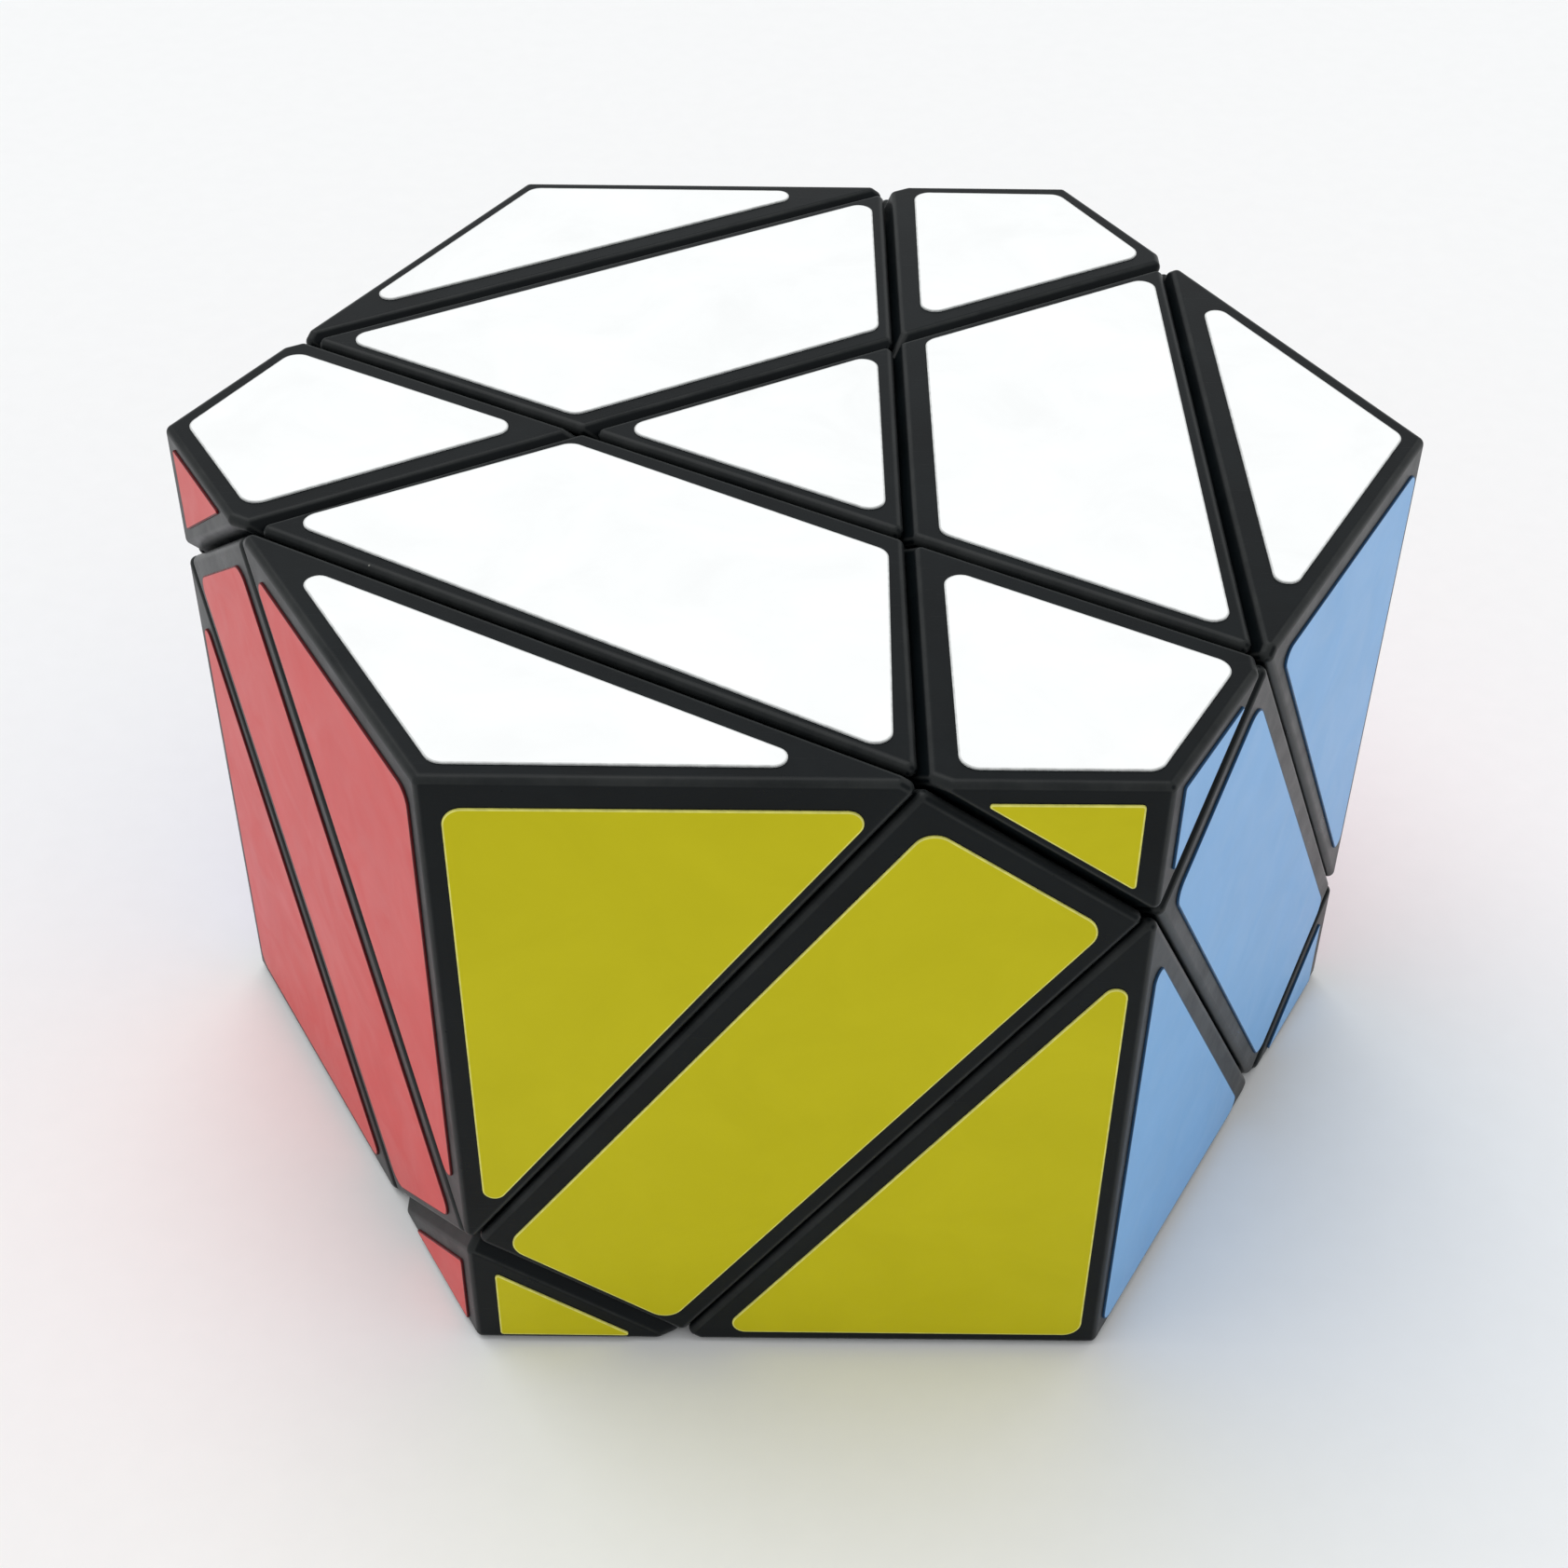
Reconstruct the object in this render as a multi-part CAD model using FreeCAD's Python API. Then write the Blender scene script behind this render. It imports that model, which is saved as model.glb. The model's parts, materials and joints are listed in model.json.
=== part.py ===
import FreeCAD, Part
import math
import os
from itertools import combinations, product

# A hexagonal prism that turns in layers like a 3 x 3 x 3 cube. The prism is cut out of a cube that
# stands on one corner: the cube's long diagonal is vertical, so three of the six turning axes point
# up and out, and the other three point down and out. Six centres sit on those axes, twelve edges and
# eight corners fill the gaps, and a sprung spider inside holds the centres.
#
# Lengths are in millimetres. Shapes are first made in "cube coordinates": x, y and z run along the
# turning axes, from the middle of the puzzle. to_row_frame() then stands them up: +Z vertical, the
# face between front_left and front_right looking along -Y, and the origin under the middle.

# Driving dimensions
cut = 9.5                        # from the middle to each cut plane; a layer is twice this thick
clearance = 0.25                 # free space between two pieces
rounding = 0.6                   # radius on every moulded outer edge
wall = 1.3                       # thickness of the moulded shells
reach = 5.2 * cut                # x + y + z on the top face
end_distance = reach / math.sqrt(3)              # middle to the top and bottom faces
side_distance = (reach + cut) / math.sqrt(2)     # middle to the six side faces

# Two nested spheres guide the turning. Outside the first one the cuts are at `cut`, and between the
# two they are at `foot_cut`, which puts each foot under its neighbour.
guide_radius = 21.0
inner_radius = 15.0
foot_cut = 5.75

# Core, and the screw, spring and washer that hold each centre on it
hub_radius = 7.0
post_radius = 4.0
post_end = 12.0
spigot_radius = 2.62
spigot_end = 14.3
running_clearance = 0.08
screw_radius = 1.5
screw_tip = 5.5
screw_bite = 0.02                # between the shank and the hole that it cuts in the core
shank_clearance = 0.1            # between the shank and the washer
head_radius = 3.0
head_height = 2.0
head_rounding = 0.7
recess_length = 3.4
recess_width = 0.8
recess_depth = 1.2
spring_radius = 3.0
spring_wire = 0.6
spring_half_turns = 11
spring_height = 8.0
spring_contact = 0.02            # left between the end turns and what they press on
washer_radius = 4.0
washer_thickness = 0.5

# Centres: a stem with a cup, and a cap over the cup
stem_start = 12.2
shelf = 14.6                     # where the spring rests
bore_radius = 4.2
boss_radius = 5.5
boss_end = 25.0
split = 3 * cut                  # plane between the stem and its cap
skirt_depth = 3.0
skirt_clearance = 0.08
ledge_height = 1.5               # where the skirt joins the cap's walls

# Stickers
sticker_thickness = 0.15
sticker_margin = 1.8             # from the face's edges and the middle of each seam
sticker_corner = 1.0
small_face = 2.5 * cut           # no side of a centre's small triangles is longer than this
small_sticker_margin = 1.2
small_sticker_corner = 0.3

middle_height = end_distance + sticker_thickness
small = 1e-6

X_AXIS = FreeCAD.Vector(1, 0, 0)
Y_AXIS = FreeCAD.Vector(0, 1, 0)
Z_AXIS = FreeCAD.Vector(0, 0, 1)
MIDDLE = FreeCAD.Vector(0, 0, 0)

# Names by the signs of x, y and z. A nought means that the piece is between the two cuts.
CENTRES = {
    (1, 0, 0): "front_right",
    (0, 1, 0): "back_right",
    (0, 0, 1): "left",
    (-1, 0, 0): "back_left_low",
    (0, -1, 0): "front_left_low",
    (0, 0, -1): "right_low",
}
EDGES = {
    (1, 1, 0): "top_right",
    (1, 0, 1): "top_front_left",
    (0, 1, 1): "top_back_left",
    (-1, -1, 0): "bottom_left",
    (-1, 0, -1): "bottom_back_right",
    (0, -1, -1): "bottom_front_right",
    (1, -1, 0): "side_front",
    (1, 0, -1): "side_front_right",
    (0, 1, -1): "side_back_right",
    (-1, 1, 0): "side_back",
    (-1, 0, 1): "side_back_left",
    (0, -1, 1): "side_front_left",
}
CORNERS = {
    (1, 1, 1): "top",
    (-1, -1, -1): "bottom",
    (1, -1, 1): "front_left_top",
    (1, 1, -1): "right_top",
    (-1, 1, 1): "back_left_top",
    (-1, -1, 1): "left_bottom",
    (1, -1, -1): "front_right_bottom",
    (-1, 1, -1): "back_right_bottom",
}


# A half-space is a pair (n, d): the points with n . p <= d, where n is a unit vector.

def outer_faces():
    """The prism's two ends and six sides."""
    faces = []
    for sign in (1, -1):
        up = (X_AXIS + Y_AXIS + Z_AXIS) * sign
        faces.append((up.normalize(), end_distance))
    for one, other in combinations((X_AXIS, Y_AXIS, Z_AXIS), 2):
        for sign in (1, -1):
            outward = (one - other) * sign
            faces.append((outward.normalize(), side_distance))
    return faces


def cell(signs, distance, gap):
    """The cell between cut planes at this distance, kept half a gap back from each of them."""
    faces = []
    for axis, sign in zip((X_AXIS, Y_AXIS, Z_AXIS), signs):
        if sign:
            faces.append((axis * -sign, -distance - gap / 2))
        else:
            faces.append((axis, distance - gap / 2))
            faces.append((-axis, distance - gap / 2))
    return faces


def inset(faces, depth):
    return [(normal, distance - depth) for normal, distance in faces]


def crossing(three_faces):
    """The point where three planes meet, or None when they don't."""
    (n1, d1), (n2, d2), (n3, d3) = three_faces
    scale = n1.dot(n2.cross(n3))
    if abs(scale) < small:
        return None
    return (n2.cross(n3) * d1 + n3.cross(n1) * d2 + n1.cross(n2) * d3) / scale


def corner_points(faces):
    """Every vertex of the convex solid that the half-spaces leave."""
    points = []
    for three_faces in combinations(faces, 3):
        point = crossing(three_faces)
        if point is None:
            continue
        inside = all(normal.dot(point) <= distance + small for normal, distance in faces)
        if inside and all(point.distanceToPoint(other) > small for other in points):
            points.append(point)
    return points


def outline(face, points):
    """The vertices that lie on one face, in order around its normal."""
    normal, distance = face
    on_face = [p for p in points if abs(normal.dot(p) - distance) < 10 * small]
    if len(on_face) < 3:
        return []
    centre = sum(on_face, MIDDLE) / len(on_face)
    across = (on_face[0] - centre).normalize()
    along = normal.cross(across)
    return sorted(on_face, key=lambda p: math.atan2((p - centre).dot(along), (p - centre).dot(across)))


def convex_solid(faces):
    points = corner_points(faces)
    rings = [ring for ring in (outline(face, points) for face in faces) if ring]
    sides = [Part.Face(Part.makePolygon(ring + ring[:1])) for ring in rings]
    return Part.Solid(Part.Shell(sides))


def rounded_solid(faces):
    """The same solid with every edge rounded: shrunk flat, then grown back with round joins."""
    core_shape = convex_solid(inset(faces, rounding))
    return core_shape.makeOffsetShape(rounding, small, join=0)


def direction(signs):
    return FreeCAD.Vector(*signs).normalize()


def cylinder(axis, radius, start, end):
    return Part.makeCylinder(radius, end - start, axis * start, axis)


# The six turns that bring the prism and its cuts back onto themselves: thirds of a turn about the
# vertical, with or without half a turn about the axis through the front and back faces.

def turned_signs(signs, thirds, flipped):
    x, y, z = signs
    if flipped:
        x, y, z = -y, -x, -z
    for _ in range(thirds):
        x, y, z = z, x, y
    return (x, y, z)


def turn_placement(thirds, flipped):
    vertical = direction((1, 1, 1))
    turn = FreeCAD.Rotation(vertical, 120 * thirds)
    if flipped:
        turn = turn.multiply(FreeCAD.Rotation(direction((1, -1, 0)), 180))
    return FreeCAD.Placement(MIDDLE, turn)


def to_row_frame():
    """Stands the cube diagonal up and brings the origin to the middle of the bottom face."""
    along_x = direction((1, 1, -2))
    along_y = direction((-1, 1, 0))
    along_z = direction((1, 1, 1))
    matrix = FreeCAD.Matrix(
        along_x.x, along_x.y, along_x.z, 0,
        along_y.x, along_y.y, along_y.z, 0,
        along_z.x, along_z.y, along_z.z, middle_height,
        0, 0, 0, 1,
    )
    return FreeCAD.Placement(matrix)


def export(name, shape, placement=FreeCAD.Placement()):
    moved = shape.copy()
    moved.Placement = to_row_frame().multiply(placement).multiply(moved.Placement)
    moved.exportStep(f"parts/{name}.step")


# Pieces

def piece_faces(signs):
    return cell(signs, cut, clearance) + outer_faces()


def shell_solid(signs):
    """An edge or corner: a hollow outer body, and a foot that reaches under its neighbours."""
    faces = piece_faces(signs)
    outside_guide = guide_radius + clearance / 2
    inside_guide = guide_radius - clearance / 2
    body = rounded_solid(faces).cut(Part.makeSphere(outside_guide))
    hollow = convex_solid(inset(faces, wall)).cut(Part.makeSphere(outside_guide + wall))
    foot_cell = cell(signs, foot_cut, clearance) + box_faces(guide_radius + wall)
    foot = convex_solid(foot_cell).common(Part.makeSphere(inside_guide))
    neck = convex_solid(foot_cell + cell(signs, cut, clearance))
    neck = neck.common(Part.makeSphere(outside_guide + wall / 2))
    lower = foot.fuse(neck.cut(Part.makeSphere(inside_guide - wall / 2)))
    lower = lower.cut(Part.makeSphere(inner_radius + clearance / 2))
    return body.cut(hollow).fuse(lower).removeSplitter()


def box_faces(half):
    """A cube about the middle, which closes a cell that would run on for ever."""
    return [(axis * sign, half) for axis in (X_AXIS, Y_AXIS, Z_AXIS) for sign in (1, -1)]


def column(axis_signs, half, start, end):
    """A square bar along one turning axis."""
    axis = direction(axis_signs)
    sides = [face for face in cell(axis_signs, half, 0) if abs(face[0].dot(axis)) < small]
    return convex_solid(sides + [(axis, end), (-axis, -start)])


def centre_stem(signs):
    """The turning foot of a centre: a square column that opens into a cup with a spring boss."""
    axis = direction(signs)
    half = cut - clearance / 2
    outside_guide = guide_radius + clearance / 2
    stalk = column(signs, foot_cut - clearance / 2, stem_start, guide_radius + wall / 2)
    cup = column(signs, half, inner_radius, split).cut(Part.makeSphere(outside_guide))
    room = column(signs, half - wall, inner_radius, split + wall)
    room = room.cut(Part.makeSphere(outside_guide + wall))
    room = room.cut(cylinder(axis, boss_radius, inner_radius, boss_end))
    stem = stalk.fuse(cup.cut(room)).removeSplitter()
    stem = stem.cut(cylinder(axis, bore_radius, shelf, split))
    return stem.cut(cylinder(axis, spigot_radius + running_clearance, post_end, split))


def centre_cap(signs):
    """The visible top of a centre: a hollow cap whose skirt pushes into the cup."""
    axis = direction(signs)
    faces = [face for face in piece_faces(signs) if face[0].dot(axis) > small - 1]
    lid = rounded_solid(faces + [(-axis, 2 * rounding - split)])
    lid = lid.common(convex_solid(faces + [(-axis, -split)]))
    lid = lid.cut(convex_solid(inset(faces, wall) + [(-axis, wall - split)]))
    cup_half = cut - clearance / 2 - wall
    ledge = column(signs, cup_half + wall / 2, split, split + ledge_height)
    ledge = ledge.common(convex_solid(inset(faces, wall / 2) + [(-axis, -split)]))
    skirt = column(signs, cup_half - skirt_clearance, split - skirt_depth, split)
    opening = column(signs, cup_half - wall, split - skirt_depth, split + ledge_height)
    return lid.fuse(ledge).fuse(skirt).cut(opening).removeSplitter()


# Core and fasteners

def core():
    solid = Part.makeSphere(hub_radius)
    for signs in CENTRES:
        axis = direction(signs)
        solid = solid.fuse(cylinder(axis, post_radius, 0, post_end))
        solid = solid.fuse(cylinder(axis, spigot_radius, 0, spigot_end))
    for signs in CENTRES:
        axis = direction(signs)
        solid = solid.cut(cylinder(axis, screw_radius + screw_bite, screw_tip - screw_bite, spigot_end))
    return solid.removeSplitter()


def screw():
    """A pan-head screw along +z, with a cross recess."""
    head_start = shelf + spring_height + washer_thickness
    head = cylinder(Z_AXIS, head_radius, head_start, head_start + head_height)
    rim = [edge for edge in head.Edges if edge.BoundBox.ZMin > head_start + head_height - small]
    head = head.makeFillet(head_rounding, rim)
    shank = cylinder(Z_AXIS, screw_radius, screw_tip + screw_radius, head_start)
    point = Part.makeCone(0, screw_radius, screw_radius, Z_AXIS * screw_tip, Z_AXIS)
    solid = head.fuse(shank).fuse(point)
    for length, width in ((recess_length, recess_width), (recess_width, recess_length)):
        slot_start = FreeCAD.Vector(-length / 2, -width / 2, head_start + head_height - recess_depth)
        solid = solid.cut(Part.makeBox(length, width, head_height, slot_start))
    return solid.removeSplitter()


def spring():
    """A compression spring along +z. Each half turn is half a ring, tilted so that it climbs."""
    low = shelf + spring_contact + spring_wire / 2
    climb = (spring_height - spring_wire - 2 * spring_contact) / spring_half_turns
    half_rings = []
    for turn in range(spring_half_turns):
        side = 1 if turn % 2 == 0 else -1
        start = FreeCAD.Vector(side * spring_radius, 0, low + climb * turn)
        end = FreeCAD.Vector(-side * spring_radius, 0, low + climb * (turn + 1))
        disc = Part.Face(Part.Wire(Part.Circle(start, Y_AXIS, spring_wire / 2).toShape()))
        ring_axis = (start - end).cross(Y_AXIS * side)
        half_rings.append(disc.revolve((start + end) / 2, ring_axis, 180))
    return half_rings[0].multiFuse(half_rings[1:]).removeSplitter()


def washer():
    start = shelf + spring_height
    disc = cylinder(Z_AXIS, washer_radius, start, start + washer_thickness)
    return disc.cut(cylinder(Z_AXIS, screw_radius + shank_clearance, start, start + washer_thickness))


def on_every_axis(shape):
    """Six copies of a shape made along +z, one on each turning axis."""
    copies = []
    for signs in CENTRES:
        turn = FreeCAD.Rotation(Z_AXIS, direction(signs))
        copies.append(shape.transformed(FreeCAD.Placement(MIDDLE, turn).toMatrix(), True))
    return Part.makeCompound(copies)


# Stickers

def sticker(face, ring):
    """A thin plate on one outer face, inside the face's outline, with rounded corners."""
    normal, distance = face
    borders = list(zip(ring, ring[1:] + ring[:1]))
    small_one = all(start.distanceToPoint(end) < small_face for start, end in borders)
    margin = small_sticker_margin if small_one else sticker_margin
    corner = small_sticker_corner if small_one else sticker_corner
    sides = [(normal, distance + sticker_thickness), (-normal, -distance)]
    for start, end in borders:
        outward = (end - start).cross(normal).normalize()
        sides.append((outward, outward.dot(start) - margin))
    plate = convex_solid(sides)
    upright = [edge for edge in plate.Edges
               if abs(edge.tangentAt(edge.FirstParameter).dot(normal)) > 1 - small]
    return plate.makeFillet(corner, upright)


def sticker_set(signs):
    """One sticker on each outer face of a piece."""
    nominal = cell(signs, cut, 0) + outer_faces()
    points = corner_points(nominal)
    plates = []
    for face in outer_faces():
        ring = outline(face, points)
        if ring:
            plates.append(sticker(face, ring))
    return Part.makeCompound(plates) if len(plates) > 1 else plates[0]


def export_family(signs, names, prefix, shape):
    """One shape serves every piece that a turn of the whole prism brings it to."""
    done = set()
    for flipped, thirds in product((False, True), range(3)):
        new_signs = turned_signs(signs, thirds, flipped)
        if new_signs not in done:
            done.add(new_signs)
            export(prefix + names[new_signs], shape, turn_placement(thirds, flipped))


def main():
    os.makedirs("parts", exist_ok=True)
    export("core", core())
    export("screws", on_every_axis(screw()))
    export("springs", on_every_axis(spring()))
    export("washers", on_every_axis(washer()))
    front_right = (1, 0, 0)
    export_family(front_right, CENTRES, "centre_stem_", centre_stem(front_right))
    export_family(front_right, CENTRES, "centre_cap_", centre_cap(front_right))
    export_family(front_right, CENTRES, "stickers_centre_", sticker_set(front_right))
    for signs in ((1, 1, 0), (1, -1, 0), (1, 0, -1)):
        export_family(signs, EDGES, "edge_", shell_solid(signs))
        export_family(signs, EDGES, "sticker_edge_", sticker_set(signs))
    export_family((1, 1, 1), CORNERS, "corner_", shell_solid((1, 1, 1)))
    corner = (1, -1, 1)
    export_family(corner, CORNERS, "corner_", shell_solid(corner))
    export_family(corner, CORNERS, "stickers_corner_", sticker_set(corner))


main()
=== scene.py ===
import json
import math
import random
from itertools import combinations

import bmesh
import bpy
from mathutils import Matrix, Vector


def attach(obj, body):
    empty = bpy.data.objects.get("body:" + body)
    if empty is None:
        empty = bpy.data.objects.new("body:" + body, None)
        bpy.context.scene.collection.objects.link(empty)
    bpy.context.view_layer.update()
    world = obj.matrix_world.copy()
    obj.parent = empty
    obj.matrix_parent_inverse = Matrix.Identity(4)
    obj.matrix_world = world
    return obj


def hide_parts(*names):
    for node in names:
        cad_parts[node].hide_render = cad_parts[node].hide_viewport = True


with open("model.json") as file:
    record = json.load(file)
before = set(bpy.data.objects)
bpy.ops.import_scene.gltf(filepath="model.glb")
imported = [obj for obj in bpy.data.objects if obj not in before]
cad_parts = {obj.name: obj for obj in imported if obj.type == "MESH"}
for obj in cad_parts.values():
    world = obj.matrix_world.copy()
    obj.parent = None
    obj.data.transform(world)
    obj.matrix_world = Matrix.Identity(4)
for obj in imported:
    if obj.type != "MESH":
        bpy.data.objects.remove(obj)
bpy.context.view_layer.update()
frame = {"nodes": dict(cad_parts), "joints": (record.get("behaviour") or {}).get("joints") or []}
scene = bpy.context.scene
dice = random.Random(26)

# The puzzle's turning axes and middle come from its joints, and its one driving length, from the middle
# to each cut plane, from its height. Lengths are in metres.
joints = {joint["name"]: joint for joint in frame["joints"]}
X_AXIS = Vector(joints["turn_front_right"]["axis"])
Y_AXIS = Vector(joints["turn_back_right"]["axis"])
Z_AXIS = Vector(joints["turn_left"]["axis"])
UP = Vector((0, 0, 1))
MIDDLE = Vector(joints["turn_left"]["pos_m"])

MM = 0.001
STICKER_THICKNESS = 0.15 * MM
END_DISTANCE = MIDDLE.z - STICKER_THICKNESS
REACH = 5.2                      # x + y + z on the top face, in cut distances
CUT = END_DISTANCE * math.sqrt(3) / REACH
SIDE_DISTANCE = (REACH + 1) * CUT / math.sqrt(2)
SAME_POINT = CUT / 1000
PARALLEL = 1e-6
LONGEST_END = 2.5 * CUT          # a cut side shorter than this is the end of a strip

# Which piece sits at which signs of the three turning axes
CENTRES = {
    (1, 0, 0): "front_right",
    (0, 1, 0): "back_right",
    (0, 0, 1): "left",
    (-1, 0, 0): "back_left_low",
    (0, -1, 0): "front_left_low",
    (0, 0, -1): "right_low",
}
EDGES = {
    (1, 1, 0): "top_right",
    (1, 0, 1): "top_front_left",
    (0, 1, 1): "top_back_left",
    (-1, -1, 0): "bottom_left",
    (-1, 0, -1): "bottom_back_right",
    (0, -1, -1): "bottom_front_right",
    (1, -1, 0): "side_front",
    (1, 0, -1): "side_front_right",
    (0, 1, -1): "side_back_right",
    (-1, 1, 0): "side_back",
    (-1, 0, 1): "side_back_left",
    (0, -1, 1): "side_front_left",
}
CORNERS = {
    (1, 1, 1): "top",
    (-1, -1, -1): "bottom",
    (1, -1, 1): "front_left_top",
    (1, 1, -1): "right_top",
    (-1, 1, 1): "back_left_top",
    (-1, -1, 1): "left_bottom",
    (1, -1, -1): "front_right_bottom",
    (-1, 1, -1): "back_right_bottom",
}
KINDS = {"centre": CENTRES, "edge": EDGES, "corner": CORNERS}

# The prism's faces: (name, outward normal, distance from the middle, sticker colour)
FACES = [
    ("top", UP, END_DISTANCE, "white"),
    ("bottom", -UP, END_DISTANCE, "green"),
    ("front", (X_AXIS - Y_AXIS).normalized(), SIDE_DISTANCE, "yellow"),
    ("back", (Y_AXIS - X_AXIS).normalized(), SIDE_DISTANCE, "orange"),
    ("front_right", (X_AXIS - Z_AXIS).normalized(), SIDE_DISTANCE, "blue"),
    ("back_left", (Z_AXIS - X_AXIS).normalized(), SIDE_DISTANCE, "purple"),
    ("back_right", (Y_AXIS - Z_AXIS).normalized(), SIDE_DISTANCE, "pink"),
    ("front_left", (Z_AXIS - Y_AXIS).normalized(), SIDE_DISTANCE, "red"),
]

# Vinyl: colour of the face, colour of the edge, and colour of its specks, as linear red, green, blue.
# The edge colour is painted shade at the film's edge, darker than the face; on yellow it is a painted
# highlight, lighter than the face.
VINYL = {
    "white": ((0.95, 0.955, 0.95), (0.72, 0.73, 0.72), (0.50, 0.48, 0.43)),
    "green": ((0.020, 0.30, 0.060), (0.010, 0.12, 0.030), (0.015, 0.10, 0.030)),
    "yellow": ((0.575, 0.515, 0.001), (0.82, 0.78, 0.18), (0.30, 0.24, 0.02)),
    "orange": ((0.80, 0.16, 0.006), (0.42, 0.06, 0.004), (0.35, 0.06, 0.01)),
    "blue": ((0.20, 0.45, 0.80), (0.020, 0.075, 0.17), (0.08, 0.20, 0.38)),
    "purple": ((0.13, 0.035, 0.30), (0.05, 0.012, 0.11), (0.06, 0.02, 0.13)),
    "pink": ((0.74, 0.15, 0.32), (0.36, 0.05, 0.12), (0.40, 0.08, 0.15)),
    "red": ((0.66, 0.045, 0.042), (0.13, 0.008, 0.010), (0.25, 0.02, 0.02)),
}

# Bare plastic round a sticker, by kind of side. On the side faces it also depends on the kind of piece.
LEVEL_MARGINS = {"seam": 1.85 * MM, "rim": 1.45 * MM, "arris": 1.45 * MM, "end": 1.85 * MM}
SIDE_MARGINS = {
    "corner": {"seam": 1.7 * MM, "rim": 1.75 * MM, "arris": 1.25 * MM, "end": 1.7 * MM},
    "edge": {"seam": 2.0 * MM, "rim": 2.0 * MM, "arris": 2.0 * MM, "end": 2.4 * MM},
    "centre": {"seam": 1.15 * MM, "rim": 1.05 * MM, "arris": 1.7 * MM, "end": 1.15 * MM},
}
# The side stickers sit a little low on their pieces
SIDE_DROP = {"corner": 0.5 * MM, "edge": 0.5 * MM, "centre": 0.3 * MM}

# Corner radii of a sticker, at a sharp corner and at a square one. These are the angles of the two.
SHARP, SQUARE = math.radians(30), math.radians(90)
LEVEL_RADII = (1.0 * MM, 1.4 * MM)
SIDE_RADII = {
    "corner": (0.8 * MM, 1.4 * MM),
    "edge": (1.2 * MM, 1.6 * MM),
    "centre": (0.18 * MM, 0.28 * MM),
}
ARC_STEPS = 9
SMALLEST_RADIUS = 1 / 4          # of an inner outline's corner, as a share of the sticker's own

SLIP = 0.12 * MM                 # typical error of a hand-placed sticker, along the face
TWIST = math.radians(0.35)       # and round it
EDGE_ROUNDING = 0.04 * MM        # rounding of a sticker's upper edge
PAINTED_EDGE_RIM = 0.12 * MM             # width of the top rim that carries the edge's painted shade and highlight

# Values where a noise texture is dark and where it is light, for most of its surface
NOISE_LOW, NOISE_HIGH = 0.3, 0.7

# The colour sockets of a mix node, by number, because its other sockets have the same names
MIX_FIRST, MIX_SECOND, MIX_RESULT = 6, 7, 2

# The floor is a wide disc
FLOOR_RADIUS, FLOOR_SIDES = 12.0, 96

# Where the camera stands, from the middle and in cut distances, and how it is aimed
CAMERA_PLACE = (-0.10, -16.61, 13.25)
CAMERA_DOWN, CAMERA_TURN, CAMERA_ROLL = math.radians(40.01), math.radians(0.14), math.radians(0.64)
CAMERA_LENS_MM, CAMERA_SENSOR_MM = 55.25, 36


# Shapes of the faces, from planes. A plane is (unit normal, distance from the middle).

def cut_planes(signs):
    planes = []
    for axis, sign in zip((X_AXIS, Y_AXIS, Z_AXIS), signs):
        if sign:
            planes.append((axis * -sign, -CUT))
        else:
            planes.append((axis, CUT))
            planes.append((-axis, CUT))
    return planes


def crossing(three_planes):
    (n1, d1), (n2, d2), (n3, d3) = three_planes
    scale = n1.dot(n2.cross(n3))
    if abs(scale) < PARALLEL:
        return None
    return (n2.cross(n3) * d1 + n3.cross(n1) * d2 + n1.cross(n2) * d3) / scale


def corner_points(planes):
    points = []
    for three_planes in combinations(planes, 3):
        point = crossing(three_planes)
        if point is None:
            continue
        inside = all(normal.dot(point) <= distance + SAME_POINT for normal, distance in planes)
        if inside and all((point - other).length > SAME_POINT for other in points):
            points.append(point)
    return points


def outline(normal, distance, points):
    """The corner points that lie on one face, in order around its normal."""
    ring = [p for p in points if abs(normal.dot(p) - distance) < SAME_POINT]
    if len(ring) < 3:
        return []
    centre = sum(ring, Vector()) / len(ring)
    across = (ring[0] - centre).normalized()
    along = normal.cross(across)
    return sorted(ring, key=lambda p: math.atan2((p - centre).dot(along), (p - centre).dot(across)))


def side_kind(start, end, face, cuts):
    """What a side of a face lies on: a seam, a seam's short end, the top or bottom rim, or an arris."""
    def on(plane):
        return all(abs(plane[0].dot(p) - plane[1]) < SAME_POINT for p in (start, end))
    if any(on(plane) for plane in cuts):
        return "end" if (end - start).length < LONGEST_END else "seam"
    top_and_bottom = [(normal, distance) for name, normal, distance, _ in FACES[:2] if name != face]
    return "rim" if any(on(plane) for plane in top_and_bottom) else "arris"


def inset_ring(ring, normal, margins):
    """The outline with each side moved in by its own margin. Side i runs from point i to the next."""
    count = len(ring)
    moved = []
    for i in range(count):
        before, here, after = ring[i - 1], ring[i], ring[(i + 1) % count]
        first = (here - before).cross(normal).normalized()
        second = (after - here).cross(normal).normalized()
        point = crossing([
            (normal, normal.dot(here)),
            (first, first.dot(here) - margins[i - 1]),
            (second, second.dot(here) - margins[i]),
        ])
        moved.append(point)
    return moved


def rounded_ring(ring, radii):
    """The outline with an arc in place of each corner, sharper where the corner is sharper."""
    count = len(ring)
    points = []
    for i in range(count):
        here = ring[i]
        to_before = (ring[i - 1] - here).normalized()
        to_after = (ring[(i + 1) % count] - here).normalized()
        angle = to_before.angle(to_after)
        share = min(1.0, max(0.0, (angle - SHARP) / (SQUARE - SHARP)))
        radius = radii[0] + (radii[1] - radii[0]) * share
        middle = here + (to_before + to_after).normalized() * (radius / math.sin(angle / 2))
        start = here + to_before * (radius / math.tan(angle / 2)) - middle
        end = here + to_after * (radius / math.tan(angle / 2)) - middle
        for step in range(ARC_STEPS + 1):
            points.append(middle + start.slerp(end, step / ARC_STEPS).normalized() * radius)
    return points


# Materials. Patterns are laid out in millimetres of the object's own coordinates.

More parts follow.
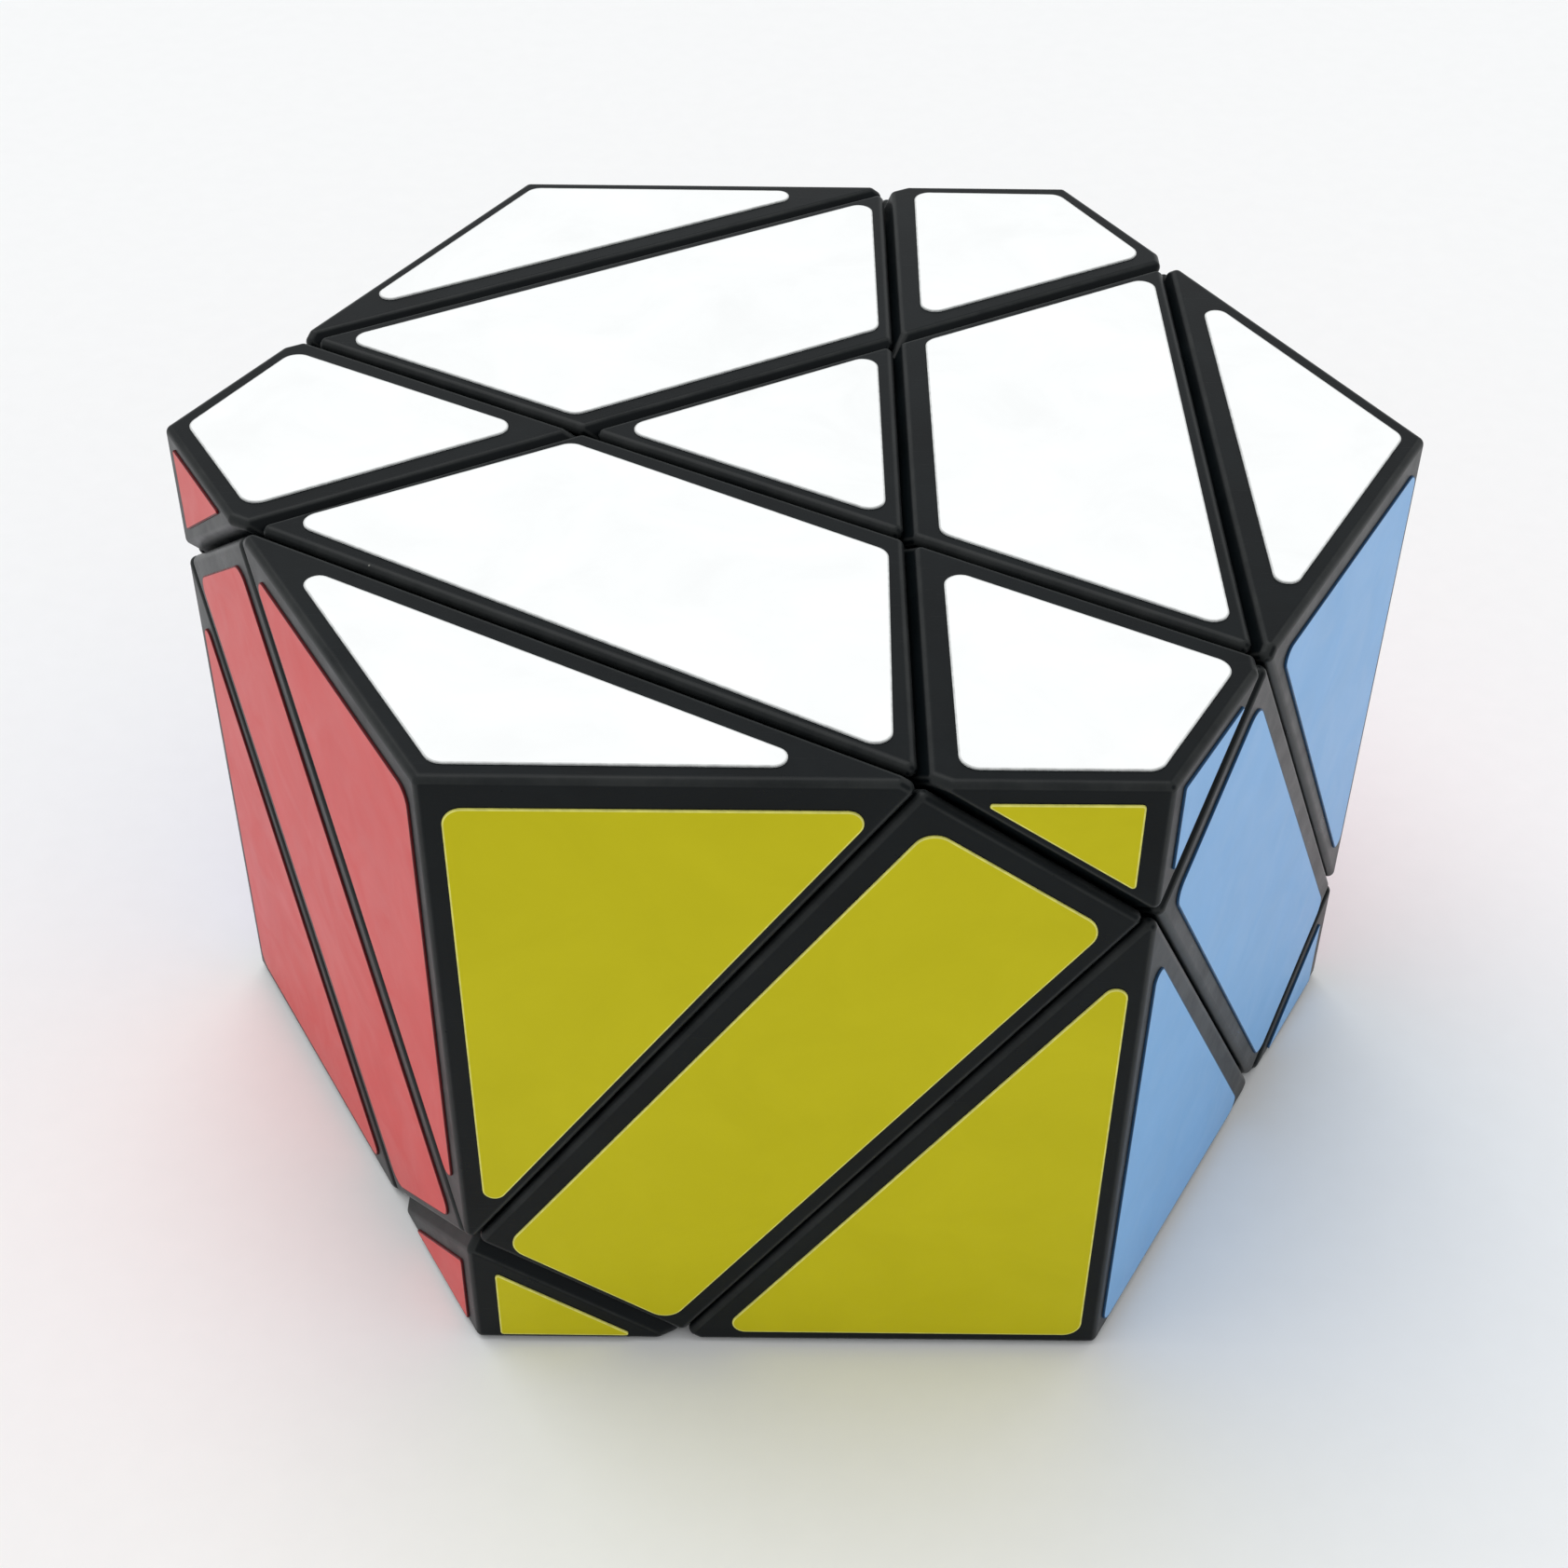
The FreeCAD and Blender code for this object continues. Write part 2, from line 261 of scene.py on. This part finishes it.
class Graph:
    """A material's nodes, with short ways to add one and to join two."""

    def __init__(self, name):
        self.material = bpy.data.materials.new(name)
        self.material.use_nodes = True
        self.tree = self.material.node_tree
        self.tree.nodes.clear()
        output = self.add("ShaderNodeOutputMaterial")
        self.shader = self.add("ShaderNodeBsdfPrincipled")
        self.join(self.shader.outputs["BSDF"], output.inputs["Surface"])
        self.coordinates = self.add("ShaderNodeTexCoord")
        scale = self.add("ShaderNodeVectorMath", operation="SCALE")
        scale.inputs["Scale"].default_value = 1 / MM
        self.join(self.coordinates.outputs["Object"], scale.inputs[0])
        self.place_mm = scale.outputs["Vector"]

    def add(self, kind, **settings):
        node = self.tree.nodes.new(kind)
        for name, value in settings.items():
            setattr(node, name, value)
        return node

    def join(self, source, target):
        self.tree.links.new(source, target)

    def stretched(self, scales, turn=(0, 0, 0)):
        mapping = self.add("ShaderNodeMapping")
        mapping.inputs["Scale"].default_value = scales
        mapping.inputs["Rotation"].default_value = [math.radians(a) for a in turn]
        self.join(self.place_mm, mapping.inputs["Vector"])
        return mapping.outputs["Vector"]

    def noise(self, per_mm, detail=3.0, roughness=0.5, distortion=0.0, place=None):
        node = self.add("ShaderNodeTexNoise")
        node.inputs["Scale"].default_value = per_mm
        node.inputs["Detail"].default_value = detail
        node.inputs["Roughness"].default_value = roughness
        node.inputs["Distortion"].default_value = distortion
        self.join(place or self.place_mm, node.inputs["Vector"])
        return node.outputs["Fac"]

    def remap(self, value, low, high, to_low, to_high):
        node = self.add("ShaderNodeMapRange")
        node.inputs["From Min"].default_value = low
        node.inputs["From Max"].default_value = high
        node.inputs["To Min"].default_value = to_low
        node.inputs["To Max"].default_value = to_high
        self.join(value, node.inputs["Value"])
        return node.outputs["Result"]

    def maths(self, operation, first, second=None):
        node = self.add("ShaderNodeMath", operation=operation)
        self.join(first, node.inputs[0])
        if isinstance(second, (int, float)):
            node.inputs[1].default_value = second
        elif second is not None:
            self.join(second, node.inputs[1])
        return node.outputs[0]

    def times(self, first, second):
        return self.maths("MULTIPLY", first, second)

    def colour(self, rgb):
        node = self.add("ShaderNodeRGB")
        node.outputs[0].default_value = (*rgb, 1)
        return node.outputs[0]

    def mix(self, share, first, second):
        node = self.add("ShaderNodeMix", data_type="RGBA")
        self.join(share, node.inputs["Factor"])
        self.join(first, node.inputs[MIX_FIRST])
        self.join(second, node.inputs[MIX_SECOND])
        return node.outputs[MIX_RESULT]

    def spread(self, noise, to_low=0, to_high=1):
        """A noise stretched over the whole of a range."""
        return self.remap(noise, NOISE_LOW, NOISE_HIGH, to_low, to_high)

    def specks(self, per_mm, size_mm, rarity):
        """Small round dots with soft edges, in the share of the cells that rarity leaves."""
        solid_share, threshold_width = 0.6, 0.01
        node = self.add("ShaderNodeTexVoronoi")
        node.inputs["Scale"].default_value = per_mm
        self.join(self.place_mm, node.inputs["Vector"])
        parts = self.add("ShaderNodeSeparateColor")
        self.join(node.outputs["Color"], parts.inputs["Color"])
        radius = size_mm * per_mm
        dot = self.remap(node.outputs["Distance"], radius * solid_share, radius, 1, 0)
        chosen = self.remap(parts.outputs["Red"], rarity, rarity + threshold_width, 0, 1)
        return self.times(dot, chosen)

    def rounded_edges(self, flats):
        """Nought where the surface faces along one of the given directions, and one between them."""
        turned, flat_on = 0.95, 0.997
        nearest = None
        for flat in flats:
            dot = self.add("ShaderNodeVectorMath", operation="DOT_PRODUCT")
            dot.inputs[1].default_value = flat
            self.join(self.coordinates.outputs["Normal"], dot.inputs[0])
            alignment = self.maths("ABSOLUTE", dot.outputs["Value"])
            nearest = alignment if nearest is None else self.maths("MAXIMUM", nearest, alignment)
        return self.remap(nearest, turned, flat_on, 1, 0)

    def bump(self, height, depth_mm, below=None):
        node = self.add("ShaderNodeBump")
        node.inputs["Strength"].default_value = 1.0
        node.inputs["Distance"].default_value = depth_mm * MM
        self.join(height, node.inputs["Height"])
        if below is not None:
            self.join(below, node.inputs["Normal"])
        return node.outputs["Normal"]

    def finish(self, colour, roughness, normal=None, metallic=0.0, specular=0.5):
        self.join(colour, self.shader.inputs["Base Color"])
        self.join(roughness, self.shader.inputs["Roughness"])
        if normal is not None:
            self.join(normal, self.shader.inputs["Normal"])
        self.shader.inputs["Metallic"].default_value = metallic
        self.shader.inputs["Specular IOR Level"].default_value = specular
        return self.material


def black_plastic():
    """Semi-gloss black moulding: faint clouds, smudges, fine scratches, a painted highlight along the
    rounded edges, and some dust.
    """
    graph = Graph("black_plastic")
    clouds = graph.noise(0.09, detail=4, roughness=0.6, distortion=0.8)
    smudges = graph.noise(0.22, detail=5, roughness=0.65)
    scratches = graph.noise(1.0, detail=2, place=graph.stretched((0.25, 9.0, 9.0), (0, 20, 35)))
    dust = graph.specks(per_mm=0.30, size_mm=0.10, rarity=0.86)
    tone = graph.mix(
        graph.spread(clouds),
        graph.colour((0.0020, 0.0032, 0.0040)),
        graph.colour((0.0044, 0.0066, 0.0078)),
    )
    flats = [normal for _, normal, _, _ in FACES] + [X_AXIS, Y_AXIS, Z_AXIS]
    # Painted highlight: the rounded edges get a lighter colour, more where the smudge noise is high, in
    # place of the highlights they catch.
    edge_highlight_paint = graph.times(graph.rounded_edges(flats), graph.remap(smudges, 0.35, 0.65, 0.45, 1))
    tone = graph.mix(edge_highlight_paint, tone, graph.colour((0.024, 0.026, 0.026)))
    tone = graph.mix(graph.times(dust, 0.75), tone, graph.colour((0.22, 0.22, 0.20)))
    rough = graph.spread(smudges, 0.26, 0.38)
    grain = graph.bump(graph.noise(5.0, detail=2), 0.004)
    marks = graph.bump(graph.remap(scratches, 0.68, 0.74, 0, 1), -0.003, grain)
    waves = graph.bump(graph.noise(0.20, detail=1), 0.012, marks)
    return graph.finish(tone, rough, waves, specular=0.115)


def nylon():
    """The cast core: a matte grey-black, slightly grained."""
    graph = Graph("core_nylon")
    tone = graph.mix(
        graph.spread(graph.noise(0.3, detail=4)),
        graph.colour((0.020, 0.020, 0.022)),
        graph.colour((0.032, 0.032, 0.034)),
    )
    rough = graph.spread(graph.noise(1.2), 0.48, 0.62)
    return graph.finish(tone, rough, graph.bump(graph.noise(6.0, detail=3), 0.008), specular=0.4)


def steel(name, rgb, smooth, rough, stretch):
    """Bare steel with fine drawing or turning marks. Its roughness runs from smooth to rough."""
    graph = Graph(name)
    marks = graph.noise(1.0, detail=3, place=graph.stretched(stretch))
    darker = tuple(part * 0.72 for part in rgb)
    tone = graph.mix(graph.spread(marks), graph.colour(darker), graph.colour(rgb))
    return graph.finish(
        tone,
        graph.remap(marks, 0.25, 0.75, smooth, rough),
        graph.bump(marks, 0.004),
        metallic=1.0,
    )


def vinyl_face(name, rgb, speck_rgb):
    """Coloured vinyl film: mottled ink, fine grain, smudges, a few specks and a soft waviness."""
    graph = Graph("vinyl_" + name)
    mottle = graph.noise(0.11, detail=5, roughness=0.6, distortion=0.6)
    grain = graph.noise(2.2, detail=3, roughness=0.7)
    lighter = tuple(min(1.0, part * 1.03 + 0.002) for part in rgb)
    darker = tuple(part * 0.965 for part in rgb)
    tone = graph.mix(graph.spread(mottle), graph.colour(darker), graph.colour(lighter))
    tone = graph.mix(graph.remap(grain, 0.35, 0.75, 0, 0.10), tone, graph.colour(darker))
    specks = graph.specks(per_mm=0.16, size_mm=0.11, rarity=0.80)
    tone = graph.mix(graph.times(specks, 0.6), tone, graph.colour(speck_rgb))
    rough = graph.spread(graph.noise(0.16, detail=5, distortion=1.2), 0.28, 0.36)
    waves = graph.bump(graph.noise(0.12, detail=2), 0.012)
    peel = graph.bump(graph.noise(2.6, detail=2), 0.003, waves)
    return graph.finish(tone, rough, peel, specular=0.14)


def vinyl_edge_painted_light(name, rgb):
    """The die-cut edge of the film and its top rim, in painted shade darker than the face; on yellow, a
    painted highlight lighter than it.
    """
    graph = Graph("vinyl_edge_" + name)
    darker = tuple(part * 0.8 for part in rgb)
    wear = graph.remap(graph.noise(1.5, detail=3), 0.35, 0.65, 0, 1)
    tone = graph.mix(wear, graph.colour(darker), graph.colour(rgb))
    return graph.finish(tone, graph.remap(wear, 0, 1, 0.40, 0.55), specular=0.2)


def floor_material():
    graph = Graph("floor_paper")
    fibres = graph.noise(0.35, detail=4)
    tone = graph.mix(fibres, graph.colour((0.88, 0.88, 0.88)), graph.colour((0.91, 0.91, 0.91)))
    return graph.finish(tone, graph.remap(fibres, 0, 1, 0.7, 0.8), specular=0.2)


# Stickers

def sticker_mesh(name, outer, inner, rim, normal):
    """A film with an upright die-cut edge, a small rounding, and a narrow rim on top that carries the
    edge's painted shade and highlight.
    """
    mesh = bmesh.new()
    levels = [
        (outer, 0.0),
        (outer, STICKER_THICKNESS - EDGE_ROUNDING),
        (inner, STICKER_THICKNESS),
        (rim, STICKER_THICKNESS),
    ]
    loops = [[mesh.verts.new(MIDDLE + p + normal * height) for p in points] for points, height in levels]
    for low, high in zip(loops, loops[1:]):
        for i in range(len(low)):
            j = (i + 1) % len(low)
            mesh.faces.new((low[i], low[j], high[j], high[i])).material_index = 1
    mesh.faces.new(loops[-1])
    mesh.faces.new(list(reversed(loops[0]))).material_index = 1
    data = bpy.data.meshes.new(name)
    mesh.to_mesh(data)
    mesh.free()
    return data


def settled(points, normal, drop):
    """The outline where the hand put it: a little low on a side face, slipped and turned by a hair."""
    centre = sum(points, Vector()) / len(points)
    across = normal.orthogonal().normalized()
    slip = across * dice.gauss(0, SLIP) + normal.cross(across) * dice.gauss(0, SLIP)
    turn = Matrix.Rotation(dice.gauss(0, TWIST), 3, normal)
    return [turn @ (p - centre) + centre + slip - UP * drop for p in points]


def make_stickers(kind, signs, piece):
    cuts = cut_planes(signs)
    points = corner_points(cuts + [(normal, distance) for _, normal, distance, _ in FACES])
    node = ("sticker_" if kind == "edge" else "stickers_") + f"{kind}_{piece}"
    for face, normal, distance, colour in FACES:
        ring = outline(normal, distance, points)
        if not ring:
            continue
        level = face in ("top", "bottom")
        margins = LEVEL_MARGINS if level else SIDE_MARGINS[kind]
        radii = LEVEL_RADII if level else SIDE_RADII[kind]
        kinds = [side_kind(p, q, face, cuts) for p, q in zip(ring, ring[1:] + ring[:1])]
        ring = inset_ring(ring, normal, [margins[k] for k in kinds])
        ring = settled(ring, normal, 0 if level else SIDE_DROP[kind])
        rings = []
        for step in (0, EDGE_ROUNDING, PAINTED_EDGE_RIM):
            smaller = [max(radius - step, radius * SMALLEST_RADIUS) for radius in radii]
            rings.append(rounded_ring(inset_ring(ring, normal, [step] * len(ring)), smaller))
        name = f"sticker_{colour}_{kind}_{piece}"
        sticker = bpy.data.objects.new(name, sticker_mesh(name, *rings, normal))
        scene.collection.objects.link(sticker)
        sticker.data.materials.append(vinyl[colour])
        # The second material paints the shade and highlight at the film's edge.
        sticker.data.materials.append(edge_light_and_shade_paints[colour])
        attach(sticker, f"{kind}_{piece}")
        if node in frame["nodes"]:
            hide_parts(node)


vinyl = {name: vinyl_face(name, face, speck) for name, (face, _, speck) in VINYL.items()}
# Edge materials: painted shade along each film's edge, and on yellow a painted highlight.
edge_light_and_shade_paints = {name: vinyl_edge_painted_light(name, edge) for name, (_, edge, _) in VINYL.items()}
for kind, names in KINDS.items():
    for signs, piece in names.items():
        make_stickers(kind, signs, piece)


# The CAD's own parts keep their shapes and get their finish

PLASTIC = black_plastic()
HARDWARE = {
    "core": nylon(),
    "screws": steel("screw_steel", (0.55, 0.54, 0.52), smooth=0.22, rough=0.36, stretch=(6, 6, 1)),
    "springs": steel("spring_steel", (0.48, 0.47, 0.46), smooth=0.24, rough=0.34, stretch=(8, 8, 8)),
    "washers": steel("washer_steel", (0.60, 0.60, 0.59), smooth=0.26, rough=0.40, stretch=(3, 9, 3)),
}
for node, part in frame["nodes"].items():
    for material_slot in part.material_slots:
        material_slot.material = HARDWARE.get(node, PLASTIC)


# Floor, light and camera

def make_floor():
    mesh = bmesh.new()
    bmesh.ops.create_circle(mesh, cap_ends=True, segments=FLOOR_SIDES, radius=FLOOR_RADIUS)
    data = bpy.data.meshes.new("floor")
    mesh.to_mesh(data)
    mesh.free()
    data.materials.append(floor_material())
    floor = bpy.data.objects.new("floor", data)
    scene.collection.objects.link(floor)


def soft_sun(name, towards, strength, width_deg):
    """A softbox so far away and so wide that it lights the whole floor evenly."""
    data = bpy.data.lights.new(name, "SUN")
    data.energy = strength
    data.angle = math.radians(width_deg)
    light = bpy.data.objects.new(name, data)
    light.rotation_euler = Vector(towards).to_track_quat("Z", "Y").to_euler()
    scene.collection.objects.link(light)


def make_world(rgb, strength, shown):
    """Even light from all round, which the camera alone sees as bright as the floor, with no horizon."""
    world = bpy.data.worlds.new("studio")
    world.use_nodes = True
    nodes, links = world.node_tree.nodes, world.node_tree.links
    background = nodes["Background"]
    background.inputs["Color"].default_value = (*rgb, 1)
    light_path = nodes.new("ShaderNodeLightPath")
    level = nodes.new("ShaderNodeMapRange")
    level.inputs["To Min"].default_value = strength
    level.inputs["To Max"].default_value = shown
    links.new(light_path.outputs["Is Camera Ray"], level.inputs["Value"])
    links.new(level.outputs["Result"], background.inputs["Strength"])
    scene.world = world


def make_camera():
    """The camera stands in front of the puzzle, well above it, and looks down at its middle."""
    place = MIDDLE + Vector(CAMERA_PLACE) * CUT
    level = math.cos(CAMERA_DOWN)
    look = Vector((math.sin(CAMERA_TURN) * level, math.cos(CAMERA_TURN) * level, -math.sin(CAMERA_DOWN)))
    facing = look.to_track_quat("-Z", "Y").to_matrix() @ Matrix.Rotation(CAMERA_ROLL, 3, "Z")
    data = bpy.data.cameras.new("camera")
    data.sensor_width = CAMERA_SENSOR_MM
    data.lens = CAMERA_LENS_MM
    data.clip_start = 0.01
    camera = bpy.data.objects.new("camera", data)
    camera.matrix_world = Matrix.Translation(place) @ facing.to_4x4()
    scene.collection.objects.link(camera)
    scene.camera = camera


make_floor()
soft_sun("overhead", towards=(-0.25, 0.30, 1.0), strength=1.25, width_deg=55)
make_world((0.97, 0.99, 1.0), strength=0.70, shown=0.945)
scene.view_settings.view_transform = "Standard"
make_camera()
